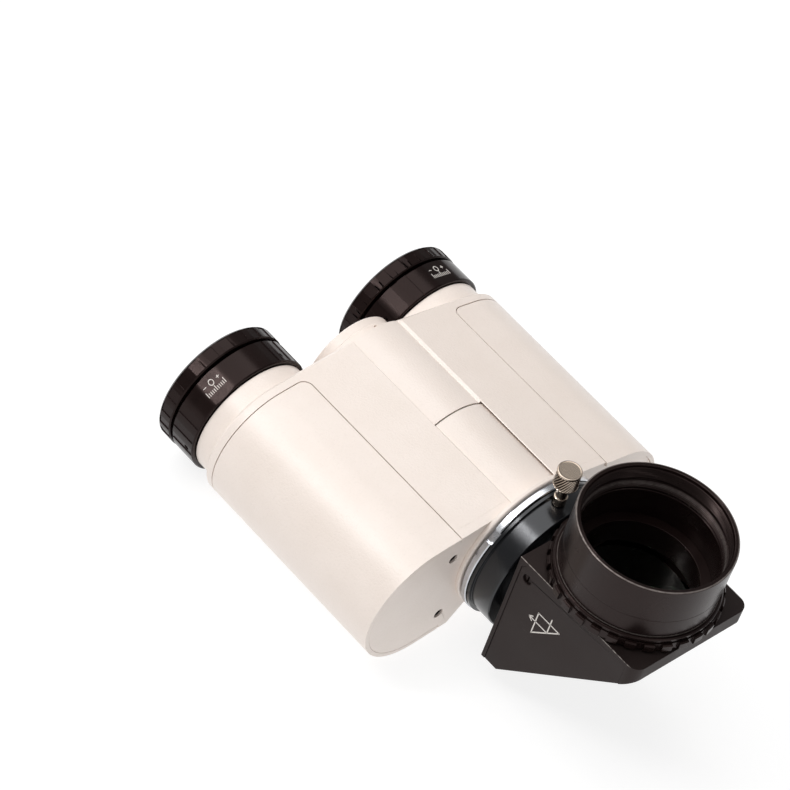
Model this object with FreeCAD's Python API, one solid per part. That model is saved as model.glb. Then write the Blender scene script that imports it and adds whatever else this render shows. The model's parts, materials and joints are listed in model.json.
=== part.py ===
import FreeCAD, Part
import math
import os

# Binocular viewer head with a 90 degree prism diagonal and a 2 inch nosepiece.
# Working frame: the Y axis is the hinge axis and the incoming light axis, +Y towards the eyes,
# +Z towards the nosepiece, and y = 0 is the front face of the two prism housings.
# Each half is drawn flat on the +X side, mirrored for the right half, and then drooped.
# All lengths are millimetres.

# --- Placement -------------------------------------------------------------------------------
RIGHT_DROOP = 6.4            # degrees that the right half hangs below the level plane
LEFT_DROOP = 9.9             # degrees for the left half, with the pupil distance at 77 mm
EYE_X = 39.3                 # eyepiece axis from the hinge axis
EYE_Z = -3.0                 # eyepiece axis below the hinge axis, in the half's own plane
NOSE_Y = -42.6               # nosepiece axis
NOSE_SHOULDER_Z = 28.6       # shoulder that the focuser stops against: the part's origin

# --- Prism housings --------------------------------------------------------------------------
HOUSING_R = 23.7             # half the housing height, and the radius of its round outer side
HOUSING_REAR_Y = 78.0
COVER_T = 1.5
COVER_X = 29.0               # the sleeve cover's edge, from the hinge axis
COVER_REAR_Y = 74.3
COVER_GROOVE = 0.35
COVER_PLAN_R = 3.5           # round plan corner of the cover
WALL = 2.3
REAR_WALL_Y = 74.6
CREASE_X = 6.8
CREASE_BEVEL = 0.9
FOLD_ANGLE = 43.7            # inner side plane, degrees from straight down
PLATE_FRONT_Y = 0.0
PLATE_REAR_Y = 3.3
LEFT_FACE_GAP = 0.5
PLATE_SCREW_X = 30.6
PLATE_SCREW_DZ = 14.4
PLATE_HEAD_R = 1.7
PLATE_HEAD_H = 1.6
PLATE_SHANK_R = 0.9
PLATE_SHANK_L = 7.0
PLATE_SCREW_SUNK = 0.7
BOSS_X = (27.8, 33.4)        # the bosses that take the front plate screws
BOSS_REAR_Y = 12.0
BOSS_DZ = 12.6
EDGE_ROUND = 1.2
FIT = 0.05                   # slip clearance between nested pieces
EDGE = 0.4                   # broken edges of turned pieces
SNUG = 0.02                  # clearance of the hinge pin's fits
PAST = 1.0                   # how far cutting shapes run past a face

# --- Hinge -----------------------------------------------------------------------------------
KNUCKLE_R = 21.0
KNUCKLE_CLEAR_R = 21.7
KNUCKLE_BORE_R = 18.9
KNUCKLE_SPLIT_Y = 37.6
KNUCKLE_GAP = 0.6
KNUCKLE_END_Y = 77.6
RELIEF_WALL_R = 23.4
SLEEVE_Y0 = 31.5
SLEEVE_STEP_Y = 43.6
SLEEVE_END_Y = 50.3
SLEEVE_BORE_R = 14.5
SLEEVE_NECK_R = 16.4
SHOULDER_Y1 = 47.0
SHOULDER_GAP = 0.3
WASHER_T = 0.3
SPANNER_SLOT = 2.0
RETAINER_Y0 = 47.6
CAP_END_Y = 84.7
CAP_R = 17.0
CAP_STEP_R = 17.7
CAP_STEP_Y = 81.2
CAP_PLUG_T = 1.2
CAP_SKIRT_T = 2.0
CAP_SKIRT_L = 2.5
CAP_DISH_RIM = 4.0
CAP_DISH_DEPTH = 0.8
CAP_HOLE_R = 0.8
CAP_HOLE_ANGLE = 10.0

# --- Light path ------------------------------------------------------------------------------
PRISM = 23.0                 # edge of every viewer prism
RIGHT_PRISM_Y = 6.0
LEFT_PRISM_Y = 51.0
PRISM_PLAY = 0.1
PRISM_AIR = 0.8              # air gap between the splitter and the right path prism
WINDOW_PLAY = 0.4
WINDOW_X0 = 10.0
SPLITTER_RETAINER_Y = 3.2
CELL_Y0 = 4.6
CELL_Y1 = 31.3
CRADLE_T = 2.0
CRADLE_X = (24.5, 44.0)
CRADLE_FEET_X = (25.5, 36.0)
FOOT_W = 4.0
FOOT_H = 8.0
CLIP_T = 0.6
CLIP_X = (28.0, 44.0)
CLIP_W = 8.0
POST_X = 36.0
POST_R = 2.5
POST_H = 9.0
PATH_TILT = math.degrees(math.atan2(-EYE_Z, EYE_X))

# --- Eyepiece holders ------------------------------------------------------------------------
COLLAR_R = 21.3
COLLAR_SHOULDER_Y = 85.0
COLLAR_END_Y = 93.5
COLLAR_THREAD_R = 19.5
COLLAR_BORE_R = 17.6
COLLAR_SPIGOT_R = 17.4
BAFFLE_R = 15.4
BAFFLE_BORE_R = 12.5
BAFFLE_WALL = 0.8
BAFFLE_FLOOR_T = 1.0
FOCUS_PAD_R = 22.7
FOCUS_FLATS = 3
FOCUS_Y0 = 85.3
FOCUS_Y1 = 95.4
FOCUS_FLAT_SPAN = 22.5       # degrees of the rim taken by one flat
FOCUS_FACE_ANGLE = {"right": 56.1, "left": 89.4}     # first flat, in the half's own drawing
SENSE = {"right": -1, "left": 1}     # the right half is drawn mirrored
FLUTE_DEPTH = 0.35
FLUTE_PITCH = 15.0           # degrees
FLUTE_SPAN = 9.0             # degrees
FLUTE_LIP = 0.5              # closed front end of a flute
FLUTES_AFTER_FLAT = (32.5, 48.5, 64.5)
SET_SCREW_OFFSETS = (-68.0, 65.0, 178.0)
SET_SCREW_Y = 88.5
SET_SCREW_R = 0.85
SET_SCREW_L = 1.6
SET_SCREW_SUNK = 0.6
SET_HOLE_DEPTH = 2.2
SOCKET_R = 15.9              # 1.25 inch eyepiece socket
TUBE_Y0 = 81.0
TUBE_STOP_W = 2.0            # inner ledge that stops the eyepiece barrel
TUBE_STOP_T = 2.6
TUBE_REST_GAP = 0.6
TUBE_END_Y = 101.4
TUBE_FLANGE_Y = 95.9
COLLET_Y0 = 97.3
COLLET_R = 17.4
COLLET_SLIT = 1.2
CLAMP_RING_R = 22.9
CLAMP_Y0 = 96.4
CLAMP_Y1 = 102.2
CLAMP_FLUTE_ANGLE = {"right": 55.9, "left": 131.7}
CLAMP_LIP = 0.8

# --- Bayonet and quick-change ring -----------------------------------------------------------
FLANGE_R = 26.9
FLANGE_Y = -1.6
BAYONET_R = 27.0
BAYONET_GROOVE_R = 24.4
BAYONET_GROOVE_Y = -2.1
BAYONET_BAND_R = 25.8
BAYONET_BAND_Y = -3.0
BAYONET_FACE_Y = -4.7
SPIGOT_R = 21.93
SPIGOT_END_Y = -11.4
DOVETAIL_DEPTH = 1.0
BAYONET_SLOPE = 0.3
LIGHT_R = 18.0
NOTCH_WIDTH = 4.6
NOTCH_ANGLE = -53.0          # degrees from straight up, about the light axis
NOTCH_FLOOR_R = 24.9
BAND_SCREWS = 4
BAND_SCREW_R = 0.3
BAND_SCREW_L = 1.6
BAND_SCREW_ANGLE = -71.0
BAND_HOLE_DEPTH = 2.0
CHANGER_LIP_R = 26.6
CHANGER_R = 25.5
CHANGER_Y0 = -5.0
CHANGER_LIP_Y = -6.1
CHANGER_Y1 = -14.2
CHANGER_BORE_R = 22.0
NECK_R = 20.0
NECK_BORE_R = 17.5
NECK_FRONT_Y = -21.3
SCREW_Y = -8.6
SCREW_LEAN = -2.8            # degrees from straight up, about the light axis
SCREW_HEAD_R = 4.0
SCREW_HEAD_H = 6.6
SCREW_TOP_R = 41.1           # from the light axis
SCREW_NECK_R = 1.8
SCREW_COLLAR_R = 2.2
SCREW_COLLAR = (25.8, 29.0)  # the collar's ends, from the light axis
SCREW_TIP = 23.6
SCREW_THREAD_R = 1.6
SCREW_KNURLS = 28
KNURL_R = 0.2
PIN_R = 1.4
PIN_TIP = 0.6
PIN_TOP_R = 23.5
PIN_GAP = 0.3                # pin above the dovetail floor while the ring can turn
SPIGOT_GAP = 0.5

# --- Prism diagonal --------------------------------------------------------------------------
DIAG_HALF_W = 24.8
DIAG_REAR_Y = -17.5
DIAG_FRONT_Y = -69.0
DIAG_TOP_Z = 23.6
DIAG_LOW_Z = -24.4
DIAG_CHAMFER = 6.7
DIAG_LIP_Z = 18.0
DIAG_WALL = 4.4
DIAG_CORNER_R = 4.0
UNDER_WALL = 2.6
ROOM_FRONT_Y = -63.5
SIDE_COVER_T = 3.0
SIDE_COVER_RIM = 1.4
COVER_CORNER = 1.6
SIDE_COVER_GAP = 0.2
COVER_SCREW_Y = -22.4
COVER_SCREW_Z = 17.7
COVER_HEAD_R = 1.7
COVER_SHANK_R = 0.9
COVER_SHANK_L = 3.8
COVER_HEAD_SEAT = 1.8        # depth of the screw's seat below the cover's face
COVER_HEAD_SUNK = 0.7
COVER_SUNK = 0.15            # the cover's face below the body's side
COVER_SLOT = 0.6
COVER_SLOT_DEPTH = 0.5
POST_HALF_Y = 1.8
DIAG_PRISM = 36.0
PAD_T = 3.3
PAD_INSET = 4.0
BACKING_INSET = 3.0
BACKING_T = 1.4
PORT_R = 21.0

# --- Nosepiece -------------------------------------------------------------------------------
NOSE_R = 25.4                # 2 inch barrel
NOSE_END_Z = 49.0
NOSE_BORE_R = 22.6
NOSE_STEP = 0.6              # step in the bore above the shoulder
NOSE_STEP_H = 3.4
FILTER_R = 23.7              # bore of the M48 filter thread
FILTER_DEPTH = 6.0
FILTER_RUNOUT = 0.8
NOSE_END_BEVEL = 0.5
SEAT_BORE_R = 19.2
SEAT_LIP_R = 26.6
SEAT_LIP_Z = 27.2
LOCK_R = 27.8
LOCK_Z0 = 23.9
LOCK_Z1 = 26.9
LOCK_NOTCHES = 30
LOCK_NOTCH_DEPTH = 0.9
LOCK_NOTCH_W = 2.4

V = FreeCAD.Vector
X_AXIS = V(1, 0, 0)
Y_AXIS = V(0, 1, 0)
Z_AXIS = V(0, 0, 1)
ORIGIN = V(0, NOSE_Y, NOSE_SHOULDER_Z)
UNDER_SLOPE = (DIAG_LIP_Z - DIAG_LOW_Z) / (DIAG_REAR_Y - DIAG_CHAMFER - DIAG_FRONT_Y)
TOP_Z = EYE_Z + HOUSING_R
LOW_Z = EYE_Z - HOUSING_R


# --- Shape helpers ---------------------------------------------------------------------------
def box(x0, x1, y0, y1, z0, z1):
    """A block between two opposite corners."""
    return Part.makeBox(x1 - x0, y1 - y0, z1 - z0, V(x0, y0, z0))


def rod(radius, y0, y1, x=0, z=0):
    """A solid cylinder along Y."""
    return Part.makeCylinder(radius, y1 - y0, V(x, y0, z), Y_AXIS)


def pipe(outer, inner, y0, y1):
    """A tube about the Y axis."""
    return rod(outer, y0, y1).cut(rod(inner, y0, y1))


def turned(outline, axis=Y_AXIS):
    """A solid of revolution from (radius, height) points, about Y or Z."""
    if axis == Y_AXIS:
        points = [V(radius, height, 0) for radius, height in outline]
    else:
        points = [V(radius, 0, height) for radius, height in outline]
    face = Part.Face(Part.makePolygon(points + [points[0]]))
    return face.revolve(V(0, 0, 0), axis, 360)


def slab_yz(points, x0, x1):
    """A polygon of (y, z) points, thickened along X."""
    corners = [V(x0, y, z) for y, z in points]
    return Part.Face(Part.makePolygon(corners + [corners[0]])).extrude(V(x1 - x0, 0, 0))


def slab_xy(points, z0, z1):
    """A polygon of (x, y) points, thickened along Z."""
    corners = [V(x, y, z0) for x, y in points]
    return Part.Face(Part.makePolygon(corners + [corners[0]])).extrude(V(0, 0, z1 - z0))


def turn(shape, degrees, axis=Y_AXIS, centre=V(0, 0, 0)):
    """A copy turned about an axis."""
    copy = shape.copy()
    copy.rotate(centre, axis, degrees)
    return copy


def shift(shape, x=0, y=0, z=0):
    """A moved copy."""
    copy = shape.copy()
    copy.translate(V(x, y, z))
    return copy


def around(shape, count, start=0, axis=Y_AXIS, centre=V(0, 0, 0)):
    """Copies of a shape at equal angles about an axis."""
    step = 360.0 / count
    return [turn(shape, start + index * step, axis, centre) for index in range(count)]


def socket_screw(head_r, head_h, shank_r, shank_l):
    """A socket-head screw along Y: the head's outer face is at y = 0, the shank points to +Y."""
    key = rod(head_r / 2, 0, head_h / 2)
    head = rod(head_r, 0, head_h).cut(key)
    return head.fuse(rod(shank_r, head_h, head_h + shank_l)).removeSplitter()


def save(name, shape):
    """Write one node with the part's origin at the nosepiece shoulder."""
    placed = shift(shape, -ORIGIN.x, -ORIGIN.y, -ORIGIN.z)
    if not placed.isValid():
        print("invalid", name)
    placed.exportStep("parts/" + name + ".step")
    print(name, len(placed.Solids), round(placed.Volume, 1))


# --- Housing outline -------------------------------------------------------------------------
def housing(inset, y0, y1):
    """The housing's D section, shrunk by inset, between two Y planes."""
    fold = math.radians(FOLD_ANGLE)
    top = TOP_Z - inset
    low = LOW_Z + inset
    reach = (inset * math.sin(fold) - low) / math.cos(fold)
    corner_x = inset * math.cos(fold) + reach * math.sin(fold)
    inner = KNUCKLE_R / 2
    inner_x = inner * math.sin(fold) + inset
    radius = HOUSING_R - inset
    crease = CREASE_X + inset
    start = V(EYE_X, y0, top)
    end = V(EYE_X, y0, low)
    side = Part.Arc(start, V(EYE_X + radius, y0, EYE_Z), end).toShape()
    chain = [end, V(corner_x, y0, low), V(inner_x, y0, -inner * math.cos(fold)), V(crease, y0, 0),
             V(crease, y0, top - CREASE_BEVEL), V(crease + CREASE_BEVEL, y0, top), start]
    lines = [Part.LineSegment(a, b).toShape() for a, b in zip(chain, chain[1:])]
    return Part.Face(Part.Wire([side] + lines)).extrude(V(0, y1 - y0, 0))


def cover_zone(y0, inset):
    """The space outboard of the sleeve cover's edge, with a round plan corner at the back."""
    edge = COVER_X + inset
    rear = COVER_REAR_Y - inset
    far = EYE_X + HOUSING_R + PAST
    radius = COVER_PLAN_R - inset
    low = LOW_Z - PAST
    middle = radius * (1 - math.sqrt(0.5))
    corner = Part.Arc(V(edge, rear - radius, low), V(edge + middle, rear - middle, low),
                      V(edge + radius, rear, low)).toShape()
    chain = [V(edge + radius, rear, low), V(far, rear, low), V(far, y0, low), V(edge, y0, low),
             V(edge, rear - radius, low)]
    lines = [Part.LineSegment(a, b).toShape() for a, b in zip(chain, chain[1:])]
    return Part.Face(Part.Wire([corner] + lines)).extrude(V(0, 0, TOP_Z - LOW_Z + 2 * PAST))


def cover():
    """The sleeve that wraps round the outer side of a housing."""
    skin = housing(0, 0, COVER_REAR_Y).cut(housing(COVER_T, -PAST, COVER_REAR_Y + PAST))
    return skin.common(cover_zone(0, COVER_GROOVE))


def cover_rebate(y0, y1):
    """What is cut from the frame and the front plate to take the cover."""
    rim = housing(0, y0, y1).cut(housing(COVER_T + FIT, y0 - PAST, y1 + PAST))
    return rim.common(cover_zone(y0, 0))


def screw_spots():
    """Centres of the two front plate screws in the half's own plane."""
    return [(PLATE_SCREW_X, EYE_Z + PLATE_SCREW_DZ), (PLATE_SCREW_X, EYE_Z - PLATE_SCREW_DZ)]


def plate_screws():
    """The two sunk screws of a front plate."""
    screw = socket_screw(PLATE_HEAD_R, PLATE_HEAD_H, PLATE_SHANK_R, PLATE_SHANK_L)
    screw = shift(screw, 0, PLATE_FRONT_Y + PLATE_SCREW_SUNK, 0)
    return Part.makeCompound([shift(screw, x, 0, z) for x, z in screw_spots()])


def screw_clearance():
    """The counterbores and tapped holes for the front plate screws."""
    seat = PLATE_FRONT_Y + PLATE_SCREW_SUNK + PLATE_HEAD_H + FIT
    hole = rod(PLATE_HEAD_R + FIT, PLATE_FRONT_Y - PAST, seat)
    hole = hole.fuse(rod(PLATE_SHANK_R + FIT, PLATE_FRONT_Y, seat + PLATE_SHANK_L + PAST))
    return Part.makeCompound([shift(hole, x, 0, z) for x, z in screw_spots()])


def front_plate(front_y, relief_r):
    """The flat plate that closes the front of a housing."""
    plate = housing(0, front_y, PLATE_REAR_Y).cut(cover_rebate(front_y - PAST, PLATE_REAR_Y + PAST))
    return plate.cut(rod(relief_r, -PAST, PLATE_REAR_Y + PAST)).cut(screw_clearance())


def broken_rear_edge(block):
    """The housing block with the outer edge of its rear face chamfered."""
    def outer(edge):
        middle = edge.valueAt((edge.FirstParameter + edge.LastParameter) / 2)
        on_rear = edge.BoundBox.YMin > HOUSING_REAR_Y - FIT
        on_side = abs(math.hypot(middle.x - EYE_X, middle.z - EYE_Z) - HOUSING_R) < FIT
        on_flat = min(abs(middle.z - TOP_Z), abs(middle.z - LOW_Z)) < FIT
        return on_rear and (on_side or on_flat)
    return block.makeChamfer(EDGE_ROUND, [edge for edge in block.Edges if outer(edge)])


def frame(own_y0, own_y1, other_y0, other_y1, bore_y0, window_y):
    """A half's machined frame: the housing shell with one hinge knuckle."""
    shell = broken_rear_edge(housing(0, PLATE_REAR_Y, HOUSING_REAR_Y))
    shell = shell.cut(cover_rebate(0, COVER_REAR_Y))
    shell = shell.cut(rod(KNUCKLE_CLEAR_R, other_y0, other_y1))
    room = housing(COVER_T + WALL, PLATE_REAR_Y, REAR_WALL_Y)
    room = room.cut(rod(KNUCKLE_R, own_y0, own_y1))
    room = room.cut(rod(RELIEF_WALL_R, other_y0, other_y1))
    for side in (1, -1):
        low = EYE_Z + side * BOSS_DZ
        high = EYE_Z + side * HOUSING_R
        room = room.cut(box(*BOSS_X, PLATE_REAR_Y, BOSS_REAR_Y, min(low, high), max(low, high)))
    shell = shell.cut(room)
    shell = shell.fuse(rod(KNUCKLE_R, own_y0, own_y1))
    shell = shell.cut(rod(KNUCKLE_BORE_R, bore_y0, own_y1 + PAST))
    half = PRISM / 2 + WINDOW_PLAY
    window = box(WINDOW_X0, CREASE_X + KNUCKLE_R, window_y - WINDOW_PLAY, window_y + PRISM + WINDOW_PLAY,
                 -half, half)
    shell = shell.cut(turn(window, PATH_TILT))
    spigot_hole = rod(COLLAR_SPIGOT_R + FIT, REAR_WALL_Y - PAST, HOUSING_REAR_Y + PAST, EYE_X, EYE_Z)
    return shell.cut(spigot_hole).cut(screw_clearance()).removeSplitter(), room


# --- Light path ------------------------------------------------------------------------------
def path_prism(points):
    """A viewer prism from its (x, y) outline, on the line from the hinge to the eyepiece."""
    return turn(slab_xy(points, -PRISM / 2, PRISM / 2), PATH_TILT)


def right_path_prism():
    """The glass block and turning face that send the reflected beam to the right eye."""
    near = PRISM / 2 + PRISM_AIR
    far = EYE_X / math.cos(math.radians(PATH_TILT))
    low = RIGHT_PRISM_Y
    high = low + PRISM
    return path_prism([(near, low), (far - PRISM / 2, low), (far + PRISM / 2, high), (near, high)])


def left_path_prism():
    """The rhomboid that carries the straight beam across to the left eye."""
    half = PRISM / 2
    far = EYE_X / math.cos(math.radians(PATH_TILT))
    low = LEFT_PRISM_Y
    high = low + PRISM
    return path_prism([(-half, low), (far - half, low), (far + half, high), (half, high)])


def cradle(prism_y, room):
    """The bracket under a path prism, standing on the housing floor."""
    top = -PRISM / 2 - PRISM_PLAY
    low = top - CRADLE_T
    y0 = prism_y + PAST
    y1 = prism_y + PRISM - PAST
    feet = [box(x, x + FOOT_W, y0, y1, low - FOOT_H, low) for x in CRADLE_FEET_X]
    bracket = box(*CRADLE_X, y0, y1, low, top).fuse(feet)
    return turn(bracket, PATH_TILT).common(room).removeSplitter()


def clip(prism_y, room):
    """The spring plate above a path prism, held by a post from the housing roof."""
    low = PRISM / 2 + PRISM_PLAY
    middle_y = prism_y + PRISM / 2
    plate = box(*CLIP_X, middle_y - CLIP_W / 2, middle_y + CLIP_W / 2, low, low + CLIP_T)
    post = Part.makeCylinder(POST_R, POST_H, V(POST_X, middle_y, low), Z_AXIS)
    return turn(plate.fuse(post), PATH_TILT).common(room).removeSplitter()


def splitter_cell():
    """The drum that holds the beam splitter in the front knuckle."""
    drum = rod(KNUCKLE_BORE_R - FIT, CELL_Y0, CELL_Y1)
    half = PRISM / 2 + PRISM_PLAY
    rear = RIGHT_PRISM_Y + PRISM + PRISM_PLAY
    pocket = box(-half, half, CELL_Y0 - PAST, rear, -half, half)
    side_port = box(0, KNUCKLE_R, RIGHT_PRISM_Y - PRISM_PLAY, rear, -half, half)
    drum = drum.cut(pocket).cut(side_port)
    return turn(drum.cut(rod(PRISM / 2 - EDGE, CELL_Y0, CELL_Y1 + PAST)), PATH_TILT)


def splitter_prism():
    """The cemented beam splitter cube."""
    half = PRISM / 2
    cube = box(-half, half, RIGHT_PRISM_Y, RIGHT_PRISM_Y + PRISM, -half, half)
    return turn(cube, PATH_TILT)


# --- Eyepiece holders, drawn about their own axis --------------------------------------------
def collar():
    """The painted collar that carries an eyepiece holder."""
    bore_end = TUBE_Y0 - TUBE_REST_GAP
    return turned([
        (BAFFLE_R + FIT, REAR_WALL_Y), (COLLAR_SPIGOT_R, REAR_WALL_Y),
        (COLLAR_SPIGOT_R, HOUSING_REAR_Y), (COLLAR_R, HOUSING_REAR_Y),
        (COLLAR_R, COLLAR_SHOULDER_Y), (COLLAR_THREAD_R, COLLAR_SHOULDER_Y),
        (COLLAR_THREAD_R, COLLAR_END_Y), (COLLAR_BORE_R, COLLAR_END_Y),
        (COLLAR_BORE_R, bore_end), (BAFFLE_R + FIT, bore_end)])


def light_baffle():
    """The blackened stop behind the prism, inside the collar."""
    low = REAR_WALL_Y + EDGE
    high = TUBE_Y0 - TUBE_REST_GAP - EDGE
    return turned([
        (BAFFLE_BORE_R, low), (BAFFLE_R, low), (BAFFLE_R, high), (BAFFLE_R - BAFFLE_WALL, high),
        (BAFFLE_R - BAFFLE_WALL, low + BAFFLE_FLOOR_T), (BAFFLE_BORE_R, low + BAFFLE_FLOOR_T)])


def flute(radius, y0, y1):
    """A cutter for one shallow flute in a ring's rim, drawn at the top."""
    half_width = radius * math.sin(math.radians(FLUTE_SPAN / 2))
    return box(-half_width, half_width, y0, y1, radius - FLUTE_DEPTH, radius + PAST)


def at_angle(shape, degrees):
    """Turn a shape drawn at the top of a ring to an angle measured from +X towards +Z."""
    return turn(shape, 90 - degrees)


def focus_ring(face_angle, sense):
    """The dioptre ring: flats, each followed by a group of grip flutes."""
    ring = turned([
        (COLLAR_THREAD_R + FIT, FOCUS_Y0), (FOCUS_PAD_R - EDGE, FOCUS_Y0),
        (FOCUS_PAD_R, FOCUS_Y0 + EDGE), (FOCUS_PAD_R, FOCUS_Y1 - EDGE),
        (FOCUS_PAD_R - EDGE, FOCUS_Y1), (COLLAR_BORE_R + FIT, FOCUS_Y1),
        (COLLAR_BORE_R + FIT, COLLAR_END_Y + EDGE), (COLLAR_THREAD_R + FIT, COLLAR_END_Y + EDGE)])
    flat_r = FOCUS_PAD_R * math.cos(math.radians(FOCUS_FLAT_SPAN / 2))
    flat = box(-FOCUS_PAD_R / 2, FOCUS_PAD_R / 2, FOCUS_Y0 - PAST, FOCUS_Y1 + PAST,
               flat_r, FOCUS_PAD_R + PAST)
    grip = flute(FOCUS_PAD_R, FOCUS_Y0 + FLUTE_LIP, FOCUS_Y1 + PAST)
    for index in range(FOCUS_FLATS):
        angle = face_angle + index * 360.0 / FOCUS_FLATS
        ring = ring.cut(at_angle(flat, angle))
        for offset in FLUTES_AFTER_FLAT:
            ring = ring.cut(at_angle(grip, angle + sense * offset))
    hole = Part.makeCylinder(SET_SCREW_R + FIT, SET_HOLE_DEPTH + PAST,
                             V(0, SET_SCREW_Y, FOCUS_PAD_R - SET_HOLE_DEPTH), Z_AXIS)
    for offset in SET_SCREW_OFFSETS:
        ring = ring.cut(at_angle(hole, face_angle + sense * offset))
    return ring.removeSplitter()


def focus_set_screws(face_angle, sense):
    """The small set screws that lock the dioptre ring to its thread."""
    top = FOCUS_PAD_R - SET_SCREW_SUNK
    key_depth = SET_SCREW_L / 2
    screw = Part.makeCylinder(SET_SCREW_R, SET_SCREW_L, V(0, SET_SCREW_Y, top - SET_SCREW_L), Z_AXIS)
    key = Part.makeCylinder(SET_SCREW_R / 2, key_depth, V(0, SET_SCREW_Y, top - key_depth), Z_AXIS)
    screw = screw.cut(key)
    return Part.makeCompound([at_angle(screw, face_angle + sense * offset)
                              for offset in SET_SCREW_OFFSETS])


def eyepiece_tube():
    """The sliding holder with the 1.25 inch socket."""
    stop_r = SOCKET_R - TUBE_STOP_W
    stop_y = TUBE_Y0 + TUBE_STOP_T
    return turned([
        (stop_r, TUBE_Y0), (COLLAR_BORE_R - FIT, TUBE_Y0),
        (COLLAR_BORE_R - FIT, TUBE_FLANGE_Y), (COLLAR_THREAD_R, TUBE_FLANGE_Y),
        (COLLAR_THREAD_R, TUBE_END_Y), (COLLET_R + FIT, TUBE_END_Y),
        (COLLET_R + FIT, COLLET_Y0), (SOCKET_R, COLLET_Y0), (SOCKET_R, stop_y), (stop_r, stop_y)])


def clamp_collet():
    """The split ring that closes on the eyepiece barrel."""
    ring = pipe(COLLET_R, SOCKET_R, COLLET_Y0 + PRISM_PLAY, TUBE_END_Y)
    half = COLLET_SLIT / 2
    return ring.cut(box(-half, half, COLLET_Y0, TUBE_END_Y + PAST, SOCKET_R - PAST, COLLET_R + PAST))


def clamp_ring(flute_angle):
    """The turning ring that tightens the collet, with shallow grip flutes round its rim."""
    mouth_r = SOCKET_R + EDGE
    lip_y = TUBE_END_Y + EDGE
    ring = turned([
        (COLLAR_THREAD_R + FIT, CLAMP_Y0), (CLAMP_RING_R - EDGE, CLAMP_Y0),
        (CLAMP_RING_R, CLAMP_Y0 + EDGE), (CLAMP_RING_R, CLAMP_Y1 - CLAMP_LIP),
        (CLAMP_RING_R - CLAMP_LIP, CLAMP_Y1), (mouth_r, CLAMP_Y1),
        (mouth_r, lip_y), (COLLAR_THREAD_R + FIT, lip_y)])
    cutter = at_angle(flute(CLAMP_RING_R, CLAMP_Y0 + FLUTE_LIP, CLAMP_Y1 - CLAMP_LIP), flute_angle)
    for grip in around(cutter, round(360 / FLUTE_PITCH)):
        ring = ring.cut(grip)
    return ring.removeSplitter()


# --- Bayonet and quick-change ring -----------------------------------------------------------
def entrance_flange():
    """The painted round boss in front of the hinge knuckle."""
    return turned([
        (LIGHT_R, 0), (FLANGE_R, 0), (FLANGE_R, FLANGE_Y + EDGE), (FLANGE_R - EDGE, FLANGE_Y),
        (LIGHT_R, FLANGE_Y)])


def bayonet_ring():
    """The bright male bayonet with its dovetail groove."""
    slope = BAYONET_SLOPE
    floor_r = SPIGOT_R - DOVETAIL_DEPTH
    ring = turned([
        (LIGHT_R, FLANGE_Y), (BAYONET_GROOVE_R, FLANGE_Y), (BAYONET_GROOVE_R, BAYONET_GROOVE_Y),
        (BAYONET_BAND_R, BAYONET_GROOVE_Y), (BAYONET_BAND_R, BAYONET_BAND_Y),
        (BAYONET_R, BAYONET_BAND_Y), (BAYONET_R, BAYONET_FACE_Y + slope),
        (BAYONET_R - slope, BAYONET_FACE_Y), (SPIGOT_R, BAYONET_FACE_Y),
        (SPIGOT_R, SCREW_Y + PIN_R + 2 * slope), (floor_r, SCREW_Y + PIN_R + slope),
        (floor_r, SCREW_Y - PIN_R - slope), (SPIGOT_R, SCREW_Y - PIN_R - 2 * slope),
        (SPIGOT_R, SPIGOT_END_Y), (LIGHT_R, SPIGOT_END_Y)])
    notch = box(-NOTCH_WIDTH / 2, NOTCH_WIDTH / 2, BAYONET_FACE_Y - PAST, BAYONET_GROOVE_Y + FIT,
                NOTCH_FLOOR_R, BAYONET_R + PAST)
    ring = ring.cut(turn(notch, NOTCH_ANGLE))
    hole = band_rod(BAND_SCREW_R + FIT, BAND_HOLE_DEPTH + PAST)
    for cutter in around(hole, BAND_SCREWS, BAND_SCREW_ANGLE):
        ring = ring.cut(cutter)
    return ring.removeSplitter()


def band_rod(radius, depth):
    """A radial rod into the bayonet's rear band."""
    middle_y = (BAYONET_GROOVE_Y + BAYONET_BAND_Y) / 2
    return Part.makeCylinder(radius, depth, V(0, middle_y, BAYONET_BAND_R - BAND_HOLE_DEPTH), Z_AXIS)


def bayonet_screws():
    """The tiny radial screws that hold the bayonet on the flange."""
    return Part.makeCompound(around(band_rod(BAND_SCREW_R, BAND_SCREW_L), BAND_SCREWS, BAND_SCREW_ANGLE))


def lean(shape):
    """Turn a shape drawn along Z to the thumbscrew's direction."""
    return turn(shape, SCREW_LEAN)


def upright(radius, low, high):
    """A cylinder along Z at the thumbscrew's place."""
    return Part.makeCylinder(radius, high - low, V(0, SCREW_Y, low), Z_AXIS)


def quick_change_ring():
    """The black female ring that the thumbscrew locks on the bayonet."""
    step_y = SPIGOT_END_Y - SPIGOT_GAP
    ring = turned([
        (CHANGER_BORE_R, CHANGER_Y0), (CHANGER_LIP_R, CHANGER_Y0),
        (CHANGER_LIP_R, CHANGER_LIP_Y), (CHANGER_R, CHANGER_LIP_Y),
        (CHANGER_R, CHANGER_Y1 + EDGE), (CHANGER_R - EDGE, CHANGER_Y1),
        (NECK_R + FIT, CHANGER_Y1), (NECK_R + FIT, step_y), (CHANGER_BORE_R, step_y)])
    ring = ring.cut(lean(upright(PIN_R + FIT, LIGHT_R, PIN_TOP_R + PRISM_PLAY)))
    return ring.cut(lean(upright(SCREW_THREAD_R + FIT, PIN_TOP_R, CHANGER_R + PAST))).removeSplitter()


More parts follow.
